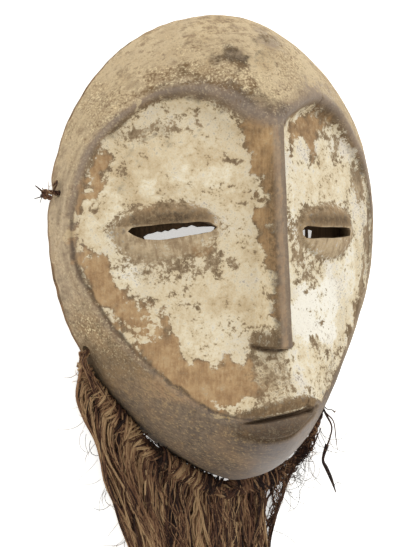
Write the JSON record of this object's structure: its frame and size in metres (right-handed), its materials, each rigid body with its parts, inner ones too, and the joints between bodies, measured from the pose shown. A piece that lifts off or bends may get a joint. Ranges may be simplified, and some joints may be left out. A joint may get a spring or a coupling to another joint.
{
  "type": "carved wooden face mask",
  "caption": "Carved oval wooden mask with a sunk heart-shaped face, slit eyes, a hollow back and a raffia beard tied along the jaw.",
  "frame": {"origin": "centre of the bounding box in plan, on the plane of the flat back rim", "axes": "+Y along the mask to the crown of the head, +Z out of the face, -X on the viewer's left when the face is upright"},
  "size_m": [0.185, 0.3636, 0.069],
  "materials": {
    "carved_wood": "worn kaolin over dark wood, matt, polished on the brow crest and chin",
    "raffia": "dry split raffia fibre",
    "cord": "dark twisted raffia cord"
  },
  "bodies": {
    "root": {"mask": "carved_wood", "beard_cord": "cord", "temple_tie": "cord", "beard_hank_01": "raffia", "beard_hank_02": "raffia", "beard_hank_03": "raffia", "beard_hank_04": "raffia", "beard_hank_05": "raffia", "beard_hank_06": "raffia", "beard_hank_07": "raffia", "beard_hank_08": "raffia", "beard_hank_09": "raffia", "beard_hank_10": "raffia", "beard_hank_11": "raffia", "beard_hank_12": "raffia", "beard_lock_1": "raffia", "beard_lock_2": "raffia", "beard_lock_3": "raffia"}
  },
  "joints": []
}
